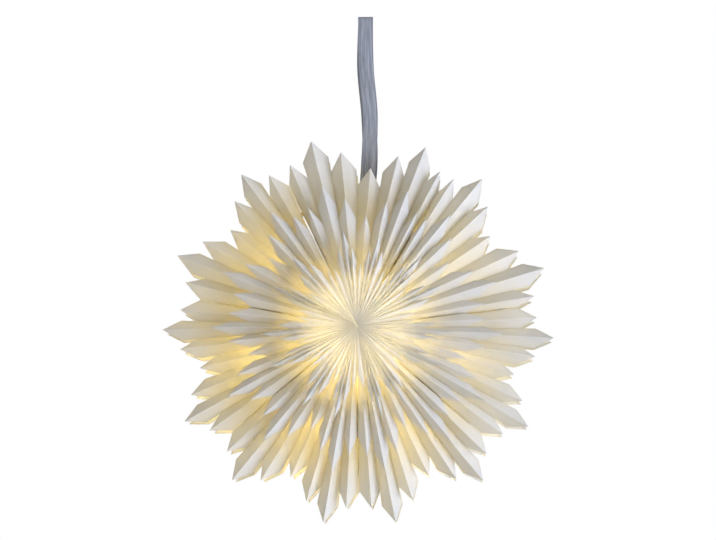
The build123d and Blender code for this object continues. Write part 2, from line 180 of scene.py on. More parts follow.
def add_light(name, kind, place, watts, colour, **form):
    """Adds a light. form holds the settings of its own kind, such as its size."""
    data = bpy.data.lights.new(name, kind)
    data.energy = watts
    data.color = linear(colour)[:3]
    for setting, value in form.items():
        setattr(data, setting, value)
    light = bpy.data.objects.new(name, data)
    bpy.context.scene.collection.objects.link(light)
    light.location = place
    return light


for name, place, width, watts, colour in STUDIO_LAMPS:
    lamp = add_light(name, "AREA", place, watts, colour, size=width)
    lamp.rotation_euler = (STAR_CENTRE - Vector(place)).to_track_quat("-Z", "Y").to_euler()
print("studio lamps", len(STUDIO_LAMPS))

# %% The floor
FLOOR_WIDE = 8.0
FLOOR_LEVEL = -1.2
FLOOR_LIFT = 0.5  # the light that it gives off to the camera

bpy.ops.mesh.primitive_plane_add(size=FLOOR_WIDE, location=(0, 0, FLOOR_LEVEL))
floor = bpy.context.object
floor.name = "floor"
pale = new_material("pale_floor")
matt = add_node(pale, "ShaderNodeBsdfPrincipled", Base_Color=linear("#f2f2f1"), Roughness=0.9)
to_camera = add_node(pale, "ShaderNodeLightPath").outputs["Is Camera Ray"]
lift = add_node(pale, "ShaderNodeMath", {"operation": "MULTIPLY"}, i0=to_camera, i1=FLOOR_LIFT)
lifted = add_node(pale, "ShaderNodeEmission", Color=linear("#ffffff"), Strength=lift.outputs[0])
pale_shader = add_node(pale, "ShaderNodeAddShader", i0=matt.outputs[0], i1=lifted.outputs[0])
add_node(pale, "ShaderNodeOutputMaterial", Surface=pale_shader.outputs[0])
wear(floor.data, pale)
print("floor at", FLOOR_LEVEL)

# %% [markdown]
# ## The lit lamp
#
# A battery lamp with one warm LED in a frosted globe sits in the middle of the star. The globe
# itself glows, and a small warm light at its centre does the work of the LED, because light from
# a lamp object reaches the folds with less grain than light from a glowing surface.

# %% The light inside
LED_WATTS = 1.8
LED_SOFT = 26 * MM  # the light's radius, which softens its shadows

shade_low, shade_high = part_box("lamp_diffuser")
lamp_middle = Vector((0, 0, (shade_low[2] + shade_high[2]) / 2))
inner = add_light("led_light", "POINT", lamp_middle, LED_WATTS, "#ffedb0", shadow_soft_size=LED_SOFT)
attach(inner, "lamp")
print("light at", [round(x, 4) for x in lamp_middle])

# %% [markdown]
# ## Seven bags
#
# The star is seven paper bags that stand round its axis, glued side to side along seven seams.
# All of their angles are counted in degrees from the right, anticlockwise as the camera sees them.

# %% Seams and directions
SEAMS = (7.7, 59.8, 115.6, 169.2, 219.0, 270.2, 319.7)


def towards(angle):
    """The direction at this angle in the star's middle plane."""
    return Vector((math.cos(math.radians(angle)), 0, math.sin(math.radians(angle))))


def bag_opening(bag):
    """The angle of a bag's middle, and half the angle between its seams."""
    half = (SEAMS[(bag + 1) % len(SEAMS)] - SEAMS[bag]) % 360 / 2
    return SEAMS[bag] + half, half


print("bags open", [round(2 * bag_opening(bag)[1], 1) for bag in range(len(SEAMS))], "degrees")

# %% [markdown]
# Inside each bag the light goes on from white wall to white wall until it comes out through a
# petal. That takes more bounces than a picture can wait for, so two weak warm lights in the
# hollow of each bag stand in for it. The bags on the left and at the bottom glow most. Where
# the glue has let go, the crack between two bags is lit as well, and shows as a bright line.

# %% The glow inside the bags
BAG_GLOW = (0.28, 0.42, 0.95, 1.2, 1.0, 0.7, 0.45)  # each bag's share of the watts
HOLLOWS = ((60 * MM, 0.14), (102 * MM, 0.125))  # distance from the axis, watts
HOLLOW_SOFT = 18 * MM
CRACK_MILLIWATTS = (0.8, 2.6, 1.1, 1.2, 1.0, 1.0, 1.6)  # for each seam
CRACK_LONG, CRACK_WIDE = 84 * MM, 1.1 * MM
CRACK_OUT, CRACK_FORWARD = 97 * MM, 17 * MM  # its middle, from the axis and from the middle plane

for bag, share in enumerate(BAG_GLOW):
    middle, half = bag_opening(bag)
    for out, watts in HOLLOWS:
        place = STAR_CENTRE + towards(middle) * out
        light = add_light("bag_glow", "POINT", place, watts * share, "#ffea96", shadow_soft_size=HOLLOW_SOFT)
        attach(light, "star")
for seam, milliwatts in zip(SEAMS, CRACK_MILLIWATTS):
    place = STAR_CENTRE + towards(seam) * CRACK_OUT - Vector((0, CRACK_FORWARD, 0))
    strip = add_light("crack_glow", "AREA", place, milliwatts / 1000, "#ffe47e",
                      shape="RECTANGLE", size=CRACK_LONG, size_y=CRACK_WIDE)
    # the strip's length points outwards, its width across the seam, and it shines to the front
    axes = Matrix((towards(seam), towards(seam - 90), (0, 1, 0))).transposed()
    strip.rotation_euler = axes.to_euler()
    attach(strip, "star")
print("glow lights", len(HOLLOWS) * len(BAG_GLOW), "and cracks", len(CRACK_MILLIWATTS))

# %% [markdown]
# ## Lantern paper
#
# Lantern paper is matt, uncoated white wood-free paper of about 200 g/m². It scatters light on
# both sides: some bounces back and some comes out behind. A diffuse shader gives the first and
# a translucent shader the second. The folds' light and shade are painted into its colour: a thin
# painted highlight along each ridge, and painted shade, darker and warmer, along each valley.
# Each vertex of the folded sheets below carries its place between valley and ridge for that, and
# how deep in the nest it lies: where the sheet above shelters it, less of the room's light gets to
# it, and the paper is painted darker and warmer as shade.

# %% The paper's tone, with the painted light and shade of the folds and the nest
FIBRE = 1.6 * MM  # real fibres are far finer, and wouldn't show
CLOUD = 28 * MM  # the slow wandering of the white
# how strongly painted shade darkens the valleys, and a painted highlight lightens the ridges
VALLEY_PAINTED_SHADE = 0.34
RIDGE_PAINTED_HIGHLIGHT = 0.6
NEST_PAINTED_SHADE = 0.46  # how far the painted shade goes at the bottom of the nest

paper = new_material("lantern_paper_uncoated_white")
paper_at = add_node(paper, "ShaderNodeTexCoord").outputs["Object"]
cloud = add_node(paper, "ShaderNodeTexNoise", Vector=paper_at, Scale=1 / CLOUD, Detail=2.0)
tone = add_node(paper, "ShaderNodeMix", MIX_COLOURS, Factor=cloud.outputs["Fac"],
                i6=linear("#f2f1ee"), i7=linear("#eae9e6"))
fold_at = add_node(paper, "ShaderNodeAttribute", {"attribute_name": "fold"}).outputs["Fac"]
# painted shade along the valleys and a painted highlight along the ridges, from each vertex's place between
# them
valley_shade_share = add_node(paper, "ShaderNodeMapRange", Value=fold_at,
                     From_Min=0.0, From_Max=0.3, To_Min=VALLEY_PAINTED_SHADE, To_Max=0.0)
on_ridge = add_node(paper, "ShaderNodeMapRange", Value=fold_at,
                    From_Min=0.86, From_Max=1.0, To_Min=0.0, To_Max=RIDGE_PAINTED_HIGHLIGHT)
valley_painted_shade = add_node(paper, "ShaderNodeMix", MIX_COLOURS, Factor=valley_shade_share.outputs[0],
                   i6=tone.outputs["Result"], i7=linear("#c6bfa4"))
ridge_painted_highlight = add_node(paper, "ShaderNodeMix", MIX_COLOURS, Factor=on_ridge.outputs[0],
                   i6=valley_painted_shade.outputs["Result"], i7=linear("#fbfbfa"))
# painted shade deep in the nest, where the sheet above keeps the room's light off: darker and warmer
deep_at = add_node(paper, "ShaderNodeAttribute", {"attribute_name": "deep"}).outputs["Fac"]
nest_shade_share = add_node(paper, "ShaderNodeMath", {"operation": "MULTIPLY"}, i0=deep_at, i1=NEST_PAINTED_SHADE)
sheltered = add_node(paper, "ShaderNodeMix", MIX_COLOURS, Factor=nest_shade_share.outputs[0],
                     i6=ridge_painted_highlight.outputs["Result"], i7=linear("#c8ba8c"))

# %% The paper's surface
THROUGH = 0.34  # the share of the light that comes out behind

fibre = add_node(paper, "ShaderNodeTexNoise", Vector=paper_at, Scale=1 / FIBRE, Detail=4.0, Roughness=0.6)
grain = add_node(paper, "ShaderNodeBump", Height=fibre.outputs["Fac"], Strength=0.12, Distance=0.05 * MM)
front = add_node(paper, "ShaderNodeBsdfPrincipled", Base_Color=sheltered.outputs["Result"], Roughness=0.92,
                 Specular_IOR_Level=0.3, Normal=grain.outputs["Normal"])
behind = add_node(paper, "ShaderNodeBsdfTranslucent", Color=linear("#fffbf0"))
mixed = add_node(paper, "ShaderNodeMixShader", Fac=THROUGH, i1=front.outputs[0], i2=behind.outputs[0])
add_node(paper, "ShaderNodeOutputMaterial", Surface=mixed.outputs[0])
print("paper with", len(paper.node_tree.nodes), "nodes")

# %% [markdown]
# ## Folded paper
#
# Each bag is a nest of three folded sheets: short petals over the axis, middle ones over them,
# and long ones at the rim. All folds of a sheet run straight out from one point, ridge and valley
# by turns, so a petal is two flat panels between two valleys. Hand-folded paper is never quite
# even, and the numbers below say where each bag's folds really lie.

# %% Where the folds lie
PAPER = 0.3 * MM
GLUE = 0.1 * MM
SHORTEST_TIP = 61.0 * MM
TIP_STEP = 16.6 * MM
SHEET_STEP = 3 * TIP_STEP  # how much further out each next sheet ends
# order: which sheet of the nest it is
# start: where its folds begin, in millimetres from the point where they would all meet
# apex, fall: a ridge's height at the axis in millimetres, and its fall for each one outwards
# panel: a panel's width for each millimetre outwards. slope: the length of a petal's point
# shares: each ridge's angle from the bag's middle, as a share of half the bag's opening
# kinds: how many steps longer than the shortest petal of its sheet each petal is
SHEETS = {
    "inner": dict(order=0, start=0.25, apex=67.85, fall=0.02, panel=0.115, slope=14.0,
                  shares=(0, 0.235, 0.40, 0.58, 0.87), kinds=(0, 1, 2, 1, 0)),
    "middle": dict(order=1, start=45.0, apex=54.35, fall=0.008, panel=0.106, slope=20.0,
                   shares=(0, 0.32, 0.59, 0.86), kinds=(0, 1, 2, 1)),
    "rim": dict(order=2, start=70.0, apex=50.85, fall=0.126, panel=0.106, slope=18.0,
                shares=(0, 0.32, 0.59, 0.86), kinds=(0, 1, 2, 1)),
}
LEANS = (1.2, -2.3, -0.4, -0.2, 1.2, 0.8, -0.1)  # degrees that each bag's middle petal leans
SPREADS = (1.07, 1.06, 0.99, 0.97, 1.0, 0.99, 0.98)  # how widely each bag's petals fan out
INNER_LEANS = (3.4, -1.0, 3.6, 2.5, 2.9, -1.8, 0.7)
INNER_SPREADS = (  # clockwise of the bag's middle, and anticlockwise
    (0.98, 1.06), (1.0, 1.0), (1.08, 0.92), (1.08, 1.0), (1.06, 0.98), (0.84, 0.86), (1.0, 1.24),
)
RIDGE_LIMIT = 0.93  # a ridge stays this share of half the opening, or less, from the bag's middle
VALLEY_SHARES = (0.8, 1.12)  # how deep a valley is at least and at most, as a share of its full depth
LEAST_DEPTH = 0.02  # of the flattest valley, for each millimetre outwards
SEAM_OPEN = (0.25, 0.5, 0.7, 0.3, 0.2, 0.3, 0.35)  # mm that the sides stand apart beside each seam
OPEN_FROM, OPEN_TO = 40.0 * MM, 158.0 * MM  # where they do

front_petals = sum(2 * len(size["shares"]) - 1 for size in SHEETS.values())
print(len(SEAMS), "bags of", front_petals, "front petals each")

# %% [markdown]
# From these numbers a sheet's ridges and valleys can be worked out. A sheet's sides stay off the
# seam by half the glue and half the paper. Towards the axis, those of the two longer sheets draw
# back by one more paper, to leave room for the shorter sheet between them and the seam.


# %% Ridges and valleys
class Folds:
    """Where the ridges and valleys of one sheet of one bag lie."""

    def __init__(self, name, bag):
        size = SHEETS[name]
        self.size = size
        self.middle, half = bag_opening(bag)
        shortest = SHORTEST_TIP + SHEET_STEP * size["order"]
        closing = (PAPER + GLUE) / SHEET_STEP if size["order"] else 0.0
        self.side = half + math.degrees(math.asin(closing))
        shift = (GLUE / 2 + PAPER / 2 + closing * shortest) / math.sin(math.radians(half))
        self.centre = STAR_CENTRE + towards(self.middle) * shift
        lean = (INNER_LEANS if name == "inner" else LEANS)[bag]
        spreads = INNER_SPREADS[bag] if name == "inner" else (SPREADS[bag], SPREADS[bag])
        shares = [-share for share in size["shares"][:0:-1]] + list(size["shares"])
        kinds = size["kinds"][:0:-1] + size["kinds"]
        self.tips = [shortest - shift + TIP_STEP * kind for kind in kinds]
        self.ridges = []
        for share in shares:
            spread = spreads[0] if share < 0 else spreads[1]
            angle = share * half * spread + lean * (1 - abs(share))
            self.ridges.append(max(-RIDGE_LIMIT * half, min(RIDGE_LIMIT * half, angle)))
        self.opens = (SEAM_OPEN[bag] * MM, SEAM_OPEN[(bag + 1) % len(SEAMS)] * MM)
        uneven = random.Random(10 * size["order"] + bag)
        for _ in self.ridges:
            uneven.random()  # the valleys' numbers are those that come after the ridges'
        self.valleys = [(-self.side, self.depth(-self.side, self.ridges[0], 1))]
        for a, b in zip(self.ridges, self.ridges[1:]):
            between = math.degrees(math.atan2(math.tan(math.radians(a)) + math.tan(math.radians(b)), 2))
            self.valleys.append((between, self.depth(a, b, 2) * uneven.uniform(*VALLEY_SHARES)))
        self.valleys.append((self.side, self.depth(self.ridges[-1], self.side, 1)))

    def depth(self, a, b, panels):
        """How far a valley lies under the ridges per millimetre outwards."""
        run = (math.tan(math.radians(b)) - math.tan(math.radians(a))) / panels
        return math.sqrt(max(self.size["panel"] ** 2 - run**2, LEAST_DEPTH**2))

    def height(self, radius, angle, depth=0.0):
        """Height over the star's middle plane of a ridge, or of a valley of this depth."""
        out = radius * math.cos(math.radians(angle))
        return self.size["apex"] * MM - (self.size["fall"] + depth) * out

    def seam_opens(self, radius, angle):
        """How far the paper stands off its seam here. Only the outermost valleys lie at a seam."""
        if abs(abs(angle) - self.side) > 0.01:
            return Vector((0, 0, 0))
        between = min(max((radius - OPEN_FROM) / (OPEN_TO - OPEN_FROM), 0.0), 1.0)
        wide = self.opens[0 if angle < 0 else 1] * math.sin(math.pi * between)
        return towards(self.middle + angle - math.copysign(90, angle)) * wide

    def point(self, radius, angle, depth, face):
        """The point of a fold line at this radius. face is -1 at the front and 1 at the back."""
        at = self.centre + towards(self.middle + angle) * radius + self.seam_opens(radius, angle)
        return at + Vector((0, face * self.height(radius, angle, depth), 0))


# %% [markdown]
# One flat blank, a small grid, is made once for the petals and once for the glued sides, and
# copied. Paper of this weight is stiff but not quite flat: one slow wave, the same for all sheets,
# moves neighbouring paper together.

# %% The blanks and the wave
ROWS = 12  # a petal's rows from the axis to the tip
SHOULDER_ROW = 9  # from here on they close up on the tip
SIDE_ROWS = 8
WAVE_HIGH = 1.3 * MM
WAVE_LONG = 45 * MM
WAVE_FULL = 150 * MM  # the distance from the axis where the wave has its full height


def blank(name, columns, rows):
    """A flat grid, as a mesh that is only copied."""
    bpy.ops.object.select_all(action="DESELECT")
    bpy.ops.mesh.primitive_grid_add(x_subdivisions=columns, y_subdivisions=rows, size=1)
    flat = bpy.context.object
    flat.name = name
    grid = flat.data.copy()
    bpy.data.objects.remove(flat, do_unlink=True)
    return grid


def placed(mesh):
    """A copy of a blank as an object of its own."""
    copy = bpy.data.objects.new("paper", mesh.copy())
    bpy.context.scene.collection.objects.link(copy)
    return copy


def slow_wave(point):
    """How far the paper strays from its fold lines here: not at all at the axis, most at the rim."""
    away = (point - STAR_CENTRE).length
    return WAVE_HIGH * min(1.0, away / WAVE_FULL) * noise.noise(point / WAVE_LONG)


petal_blank = blank("petal_blank", 4, ROWS)
side_blank = blank("side_blank", 2, SIDE_ROWS)
print("blanks of", len(petal_blank.vertices), "and", len(side_blank.vertices), "vertices")

# %% [markdown]
# Two numbers go with each vertex for the paper's material: its place between valley and ridge,
# for the painted highlight and painted shade of the folds, and how deep in the nest it lies, for
# the painted shade under the sheet above. The lamp on the right reaches further into the bags on
# its own side, so those get less of that painted shade.

# %% Marks for the material
# millimetres from the axis: well sheltered up to the first, in the open from the second on
SHELTERED = {"inner": (-60, 24), "middle": (66, 118), "rim": (118, 172)}
SHELTER_SHARES = (0.6, 1.05, 1.1, 1.1, 1.0, 0.75, 0.55)  # for each bag


def mark(piece, name, values):
    """Keeps a number for each vertex under this name."""
    attribute = piece.data.attributes.new(name, "FLOAT", "POINT")
    attribute.data.foreach_set("value", values)


def shelter(piece, name, bag):
    """Marks each vertex for the painted shade, from 0, out in the open, to 1, well under the sheet above,
    times the bag's share.
    """
    inner, outer = SHELTERED[name]
    values = []
    for vertex in piece.data.vertices:
        away = (Vector((vertex.co.x, 0, vertex.co.z)) - Vector((STAR_CENTRE.x, 0, STAR_CENTRE.z))).length
        share = min(max((outer * MM - away) / ((outer - inner) * MM), 0.0), 1.0)
        values.append(share * share * (3 - 2 * share) * SHELTER_SHARES[bag])
    mark(piece, "deep", values)


# %% [markdown]
# A petal's copy is folded along its ridge and cut to its point: the rows run straight out as far
# as the shoulders, and from there they close up on the tip. Every panel gets a slight bow.

# %% Petals
PETAL_BOW = 0.5 * MM


def petal(folds, number, face):
    """One petal: two panels that share a ridge."""
    piece = placed(petal_blank)
    tip = folds.tips[number]
    shoulder = tip - folds.size["slope"] * MM
    start = folds.size["start"] * MM
    ridge = folds.ridges[number]
    mark(piece, "fold", [1 - abs(2 * vertex.co.x) for vertex in piece.data.vertices])
    for vertex in piece.data.vertices:
        across, row = 2 * vertex.co.x, (vertex.co.y + 0.5) * ROWS
        angle, depth = folds.valleys[number if across < 0 else number + 1]
        on_ridge = min(row, SHOULDER_ROW) / SHOULDER_ROW
        radius = start + (shoulder - start) * on_ridge
        closing = max(row - SHOULDER_ROW, 0) / (ROWS - SHOULDER_ROW)
        top = folds.point(radius + (tip - shoulder) * closing, ridge, 0, face)
        edge = folds.point(radius, angle, depth, face)
        edge = edge.lerp(folds.point(tip, ridge, 0, face), closing)
        at = top.lerp(edge, abs(across))
        bow = 4 * abs(across) * (1 - abs(across)) * on_ridge * (1 - closing)
        lift = face * (PETAL_BOW * bow + slow_wave(at))
        vertex.co = at + Vector((0, lift, 0))
    return piece


# %% [markdown]
# A bag's flat sides run from its pleats to the star's middle plane. They are cut away round the
# lamp in the middle, round the rod near the top, and out at the rim, where front and back part.

# %% Sides
CAVITY_R, CAVITY_HALF = 50.0 * MM, 46.0 * MM  # the room for the lamp: its radius, half its depth
MOUTH_R = 141.6 * MM  # further out, front and back aren't joined
ROD_GAP, ROD_CLEAR = 3.5 * MM, 3 * MM  # the notch for the rod: half its length, half its depth
ROD_SEAMS = 40  # only seams within this many degrees of straight up can meet the rod


def side_spans(folds, seam):
    """The stretches of a side: where each starts and stops, and how near the middle plane it comes."""
    start, stop = folds.size["start"] * MM, folds.tips[0] - folds.size["slope"] * MM
    if stop <= CAVITY_R:
        return [(start, stop, CAVITY_HALF)]
    low, high = max(start, CAVITY_R), min(stop, MOUTH_R)
    spans = [(low, high, 0.0)]
    if abs(seam - 90) < ROD_SEAMS:
        rod_at = (ROD_MIDDLE.z - STAR_CENTRE.z) / math.sin(math.radians(seam))
        if low < rod_at < high:
            before, after = rod_at - ROD_GAP, rod_at + ROD_GAP
            spans = [(low, before, 0.0), (before, after, ROD_CLEAR), (after, high, 0.0)]
    if start < CAVITY_R:
        spans.append((start, CAVITY_R, CAVITY_HALF))
    return spans


def side(folds, end, face):
    """The flat side at one end of a bag, front or back: one piece for each stretch."""
    angle, depth = folds.valleys[0 if end < 0 else -1]
    pieces = []
    for low, high, inner in side_spans(folds, folds.middle + angle):
        piece = placed(side_blank)
        mark(piece, "fold", [0.5] * len(piece.data.vertices))
        for vertex in piece.data.vertices:
            radius = low + (high - low) * (vertex.co.y + 0.5)
            outer = folds.point(radius, angle, depth, face)
            near = Vector((outer.x, face * inner, outer.z))
            stray = Vector((0, face * slow_wave(outer), 0)) * (0.5 - vertex.co.x)
            vertex.co = outer.lerp(near, vertex.co.x + 0.5) + stray
        pieces.append(piece)
    return pieces


# %% [markdown]
# The pieces of a sheet are joined, their doubled vertices merged, and the normals turned the same
# way round before Solidify gives the paper its thickness. Each sheet takes the place of the
# construction's plainer one and rides on the star.

# %% The twenty-one sheets
THIN_PAPER = 0.06 * MM  # the inner petals crowd at the axis, so theirs is drawn thinner
SAME_POINT = 0.02 * MM  # vertices nearer than this are merged
CREASE = math.radians(12)  # sharper edges than this stay sharp


def folded_sheet(name, bag):
    """One whole sheet: front petals, back petals and the glued sides of both."""
    folds = Folds(name, bag)
    pieces = []
    for face in (-1, 1):
        pieces += [petal(folds, number, face) for number in range(len(folds.ridges))]
        for end in (-1, 1):
            pieces += side(folds, end, face)
    bpy.ops.object.select_all(action="DESELECT")
    for piece in pieces:
        piece.select_set(True)
    bpy.context.view_layer.objects.active = pieces[0]
    bpy.ops.object.join()
    sheet = bpy.context.object
    sheet.name = f"{name}_paper_{bag + 1}"
    bpy.ops.object.mode_set(mode="EDIT")
    bpy.ops.mesh.select_all(action="SELECT")
    bpy.ops.mesh.remove_doubles(threshold=SAME_POINT)
    bpy.ops.mesh.normals_make_consistent(inside=False)
    bpy.ops.object.mode_set(mode="OBJECT")
    thick = sheet.modifiers.new("thickness", "SOLIDIFY")
    thick.thickness = THIN_PAPER if name == "inner" else PAPER
    thick.offset = 0
    bpy.ops.object.modifier_apply(modifier=thick.name)
    bpy.ops.object.shade_smooth_by_angle(angle=CREASE)
    shelter(sheet, name, bag)
    wear(sheet.data, paper)
    return sheet


paper_faces = 0
for sheet_name in SHEETS:
    for bag_number in range(len(SEAMS)):
        sheet = folded_sheet(sheet_name, bag_number)
        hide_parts(f"{sheet_name}_sheet_{bag_number + 1}")
        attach(sheet, "star")
        paper_faces += len(sheet.data.polygons)
print("sheets", len(SHEETS) * len(SEAMS), "faces", paper_faces)

# %% [markdown]
# ## The ribbon
#
# A 15 mm woven ribbon forms a loop: it runs from its sewn end down round the rod, up the front,
# over the hook and down the back. A flat band like this could be drawn by a curve, but a grid
# that is bent row by row keeps its own UV map, which the weave follows, and each row can stray
# sideways and turn a little, as a soft band does.

# %% The ribbon's route
RIBBON_WIDE = 15 * MM
RIBBON_THICK = 0.4 * MM
FOLD = 2.35 * MM  # from the rod's middle to the middle of the ribbon
LAP = 14 * MM  # its two ends overlap for this length above the rod
OUTER_LAYER = 1.5 * RIBBON_THICK  # how much further out the sewn end lies
LAP_STEPS, BEND_STEPS, STRAND_STEPS = 8, 16, 64
FRONT_SWAY = (0, 0.8, 4.8, 3.0, 0)  # millimetres to the right, from the top fold to the rod
BACK_SWAY = (0, -1.0, 3.2, 4.4, 0)
_, ribbon_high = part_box("ribbon_loop")
TOP_FOLD = ribbon_high[2] - FOLD - RIBBON_THICK / 2
FOOT_FOLD = ROD_MIDDLE.z


def sway(values, part):
    """The sideways stray, in metres, at this part of the way down a strand: a smooth line through values."""
    place = min(max(part, 0.0), 1.0) * (len(values) - 1)
    number = min(int(place), len(values) - 2)
    t = place - number
    padded = (values[0], *values, values[-1])
    a, b, c, d = padded[number : number + 4]
    square = 2 * a - 5 * b + 4 * c - d
    cube = 3 * b - a - 3 * c + d
    return MM * 0.5 * (2 * b + (c - a) * t + square * t**2 + cube * t**3)


def ribbon_route():
    """Rows of (sideways, depth, height, outward depth, outward height) for the ribbon's middle line."""
    fall = TOP_FOLD - FOOT_FOLD
    rows = []
    for step in range(LAP_STEPS):  # the outer end, sewn over the back strand
        rows.append((0, FOLD + OUTER_LAYER, FOOT_FOLD + LAP * (1 - step / LAP_STEPS), 1, 0))
    for step in range(BEND_STEPS + 1):  # round under the rod, from the outer layer to the inner
        turn = math.pi * step / BEND_STEPS
        cos, sin = math.cos(turn), math.sin(turn)
        away = FOLD + OUTER_LAYER * (1 - step / BEND_STEPS)
        rows.append((0, away * cos, FOOT_FOLD - away * sin, cos, -sin))
    for step in range(1, STRAND_STEPS):  # up the front
        part = 1 - step / STRAND_STEPS
        rows.append((sway(FRONT_SWAY, part), -FOLD, FOOT_FOLD + fall * (1 - part), -1, 0))
    for step in range(BEND_STEPS + 1):  # over the hook
        turn = math.pi * step / BEND_STEPS
        cos, sin = math.cos(turn), math.sin(turn)
        rows.append((0, -FOLD * cos, TOP_FOLD + FOLD * sin, -cos, sin))
    for step in range(1, STRAND_STEPS + 1):  # down the back
        part = step / STRAND_STEPS
        rows.append((sway(BACK_SWAY, part), FOLD, TOP_FOLD - fall * part, 1, 0))
    return rows


route = ribbon_route()
ribbon_length = sum(math.dist(a[:3], b[:3]) for a, b in zip(route, route[1:]))
print("ribbon", len(route), "rows, cut", round(1000 * ribbon_length), "mm long")

# %% [markdown]
# The grid gets one row of vertices for each step of the route. A row is moved to its place,
# bowed by a fraction of a millimetre like a band with firm edges, and given a slight waviness
# from two sines. Solidify then gives the band its thickness.

# %% The ribbon
BAND_COLUMNS = 8
BAND_BOW = 0.35 * MM
BAND_WAVE, BAND_TWIST = 0.3 * MM, 0.5 * MM
CALM = 30 * MM  # within this distance of a fold, bow and waves die down
BAND_EDGE = math.radians(40)  # sharper edges than this stay sharp


def hang_ribbon():
    """A woven band along the route, with its own UV map."""
    bpy.ops.object.select_all(action="DESELECT")
    bpy.ops.mesh.primitive_grid_add(x_subdivisions=BAND_COLUMNS, y_subdivisions=len(route) - 1, size=1)
    band = bpy.context.object
    band.name = "woven_ribbon"
    for vertex in band.data.vertices:
        across = vertex.co.x  # from -0.5 to 0.5
        row = round((vertex.co.y + 0.5) * (len(route) - 1))
        aside, depth, height, out_depth, out_height = route[row]
        free = min(1.0, abs(height - TOP_FOLD) / CALM, abs(height - FOOT_FOLD) / CALM)
        bow = BAND_BOW * (1 - 4 * across**2) * free
        wave = BAND_WAVE * math.sin(height * 95 + 3 * across) * free
        twist = BAND_TWIST * across * math.sin(height * 41) * free
        lift = bow + (wave + twist)
        vertex.co = (aside + RIBBON_WIDE * across, depth + out_depth * lift, height + out_height * lift)
    solid = band.modifiers.new("thickness", "SOLIDIFY")
    solid.thickness = RIBBON_THICK
    solid.offset = 0
    bpy.ops.object.modifier_apply(modifier=solid.name)
    bpy.ops.object.shade_smooth_by_angle(angle=BAND_EDGE)
    return band


ribbon = hang_ribbon()
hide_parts("ribbon_loop")
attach(ribbon, "ribbon")
print("ribbon", len(ribbon.data.polygons), "faces")

# %% [markdown]
# ## Woven ribbon
#
# The ribbon is a plain weave of grey-blue polyester. Its real threads are about 0.3 mm apart,
# too fine to show at this distance, so the weave is drawn at 0.9 mm. The warp threads, which run
# along the band, aren't dyed quite alike, and that gives the long pale streaks. The two outer
# threads of each side form a firmer, darker edge.

# %% The weave
THREAD = 0.9  # millimetres from thread to thread
WAVE_UNIT = 0.314  # a wave texture of scale 1 repeats after this length
THREADS = WAVE_UNIT / THREAD

woven = new_material("woven_polyester_ribbon_grey_blue")
band_uv = add_node(woven, "ShaderNodeTexCoord").outputs["UV"]
on_band = add_node(woven, "ShaderNodeMapping", Vector=band_uv, Scale=(15, 1000 * ribbon_length, 1))  # in mm
warp = add_node(woven, "ShaderNodeTexWave", {"bands_direction": "X"}, Vector=on_band.outputs[0],
                Scale=THREADS, Distortion=0.4)
weft = add_node(woven, "ShaderNodeTexWave", {"bands_direction": "Y"}, Vector=on_band.outputs[0],
                Scale=THREADS, Distortion=0.6)
long_way = add_node(woven, "ShaderNodeMapping", Vector=on_band.outputs[0], Scale=(0.75, 0.035, 1))
streak = add_node(woven, "ShaderNodeTexNoise", Vector=long_way.outputs[0],
                  Scale=1.0, Detail=3.0, Roughness=0.6)
streaked = add_node(woven, "ShaderNodeMapRange", Value=streak.outputs["Fac"], From_Min=0.42, From_Max=0.66)
threads = add_node(woven, "ShaderNodeMix", MIX_COLOURS, Factor=streaked.outputs[0],
                   i6=linear("#9da0a9"), i7=linear("#d0d1d7"))
crossed = add_node(woven, "ShaderNodeMath", {"operation": "MULTIPLY"},
                   i0=warp.outputs["Fac"], i1=weft.outputs["Fac"])
between_threads = add_node(woven, "ShaderNodeMapRange", Value=crossed.outputs[0], To_Min=0.26, To_Max=0.0)
shaded = add_node(woven, "ShaderNodeMix", MIX_COLOURS, Factor=between_threads.outputs[0],
                  i6=threads.outputs["Result"], i7=linear("#666b76"))

# %% The ribbon's edges and surface
EDGE_FROM, EDGE_FULL = 0.43, 0.46  # from the ribbon's middle line, as a share of its width

split = add_node(woven, "ShaderNodeSeparateXYZ", Vector=band_uv)
from_middle = add_node(woven, "ShaderNodeMath", {"operation": "SUBTRACT"}, i0=split.outputs[0], i1=0.5)
from_middle = add_node(woven, "ShaderNodeMath", {"operation": "ABSOLUTE"}, i0=from_middle.outputs[0])
at_edge = add_node(woven, "ShaderNodeMapRange", Value=from_middle.outputs[0],
                   From_Min=EDGE_FROM, From_Max=EDGE_FULL, To_Max=0.3)
edged = add_node(woven, "ShaderNodeMix", MIX_COLOURS, Factor=at_edge.outputs[0],
                 i6=shaded.outputs["Result"], i7=linear("#757b86"))
relief = add_node(woven, "ShaderNodeBump", Height=crossed.outputs[0], Strength=0.5, Distance=0.12 * MM)
band_shader = add_node(woven, "ShaderNodeBsdfPrincipled", Base_Color=edged.outputs["Result"], Roughness=0.75,
                       Normal=relief.outputs["Normal"], Sheen_Weight=0.15, Sheen_Roughness=0.5)
add_node(woven, "ShaderNodeOutputMaterial", Surface=band_shader.outputs[0])
wear(ribbon.data, woven)
print("weave with", len(woven.node_tree.nodes), "nodes")

# %% [markdown]
# ## The frosted globe
#
# The lamp's light comes out of a blow-moulded globe with a plain neck. A lathe shape like this
# is quickest as a profile that is spun round its axis: an edge is extruded from point to point,
# and spun once round. The globe fills the room of the construction's plain cup, but its shoulder
# and foot are round.

# %% The globe
GLOBE_WALL = 1.2 * MM
GLOBE_R = shade_high[0]
GLOBE_TOP, GLOBE_FOOT = shade_high[2], shade_low[2]
NECK_R = 9.65 * MM
NECK_HIGH = 3 * MM
ROUND = 9 * MM  # the radius of its shoulder and its foot
ROUND_STEPS, SPIN_STEPS = 8, 48


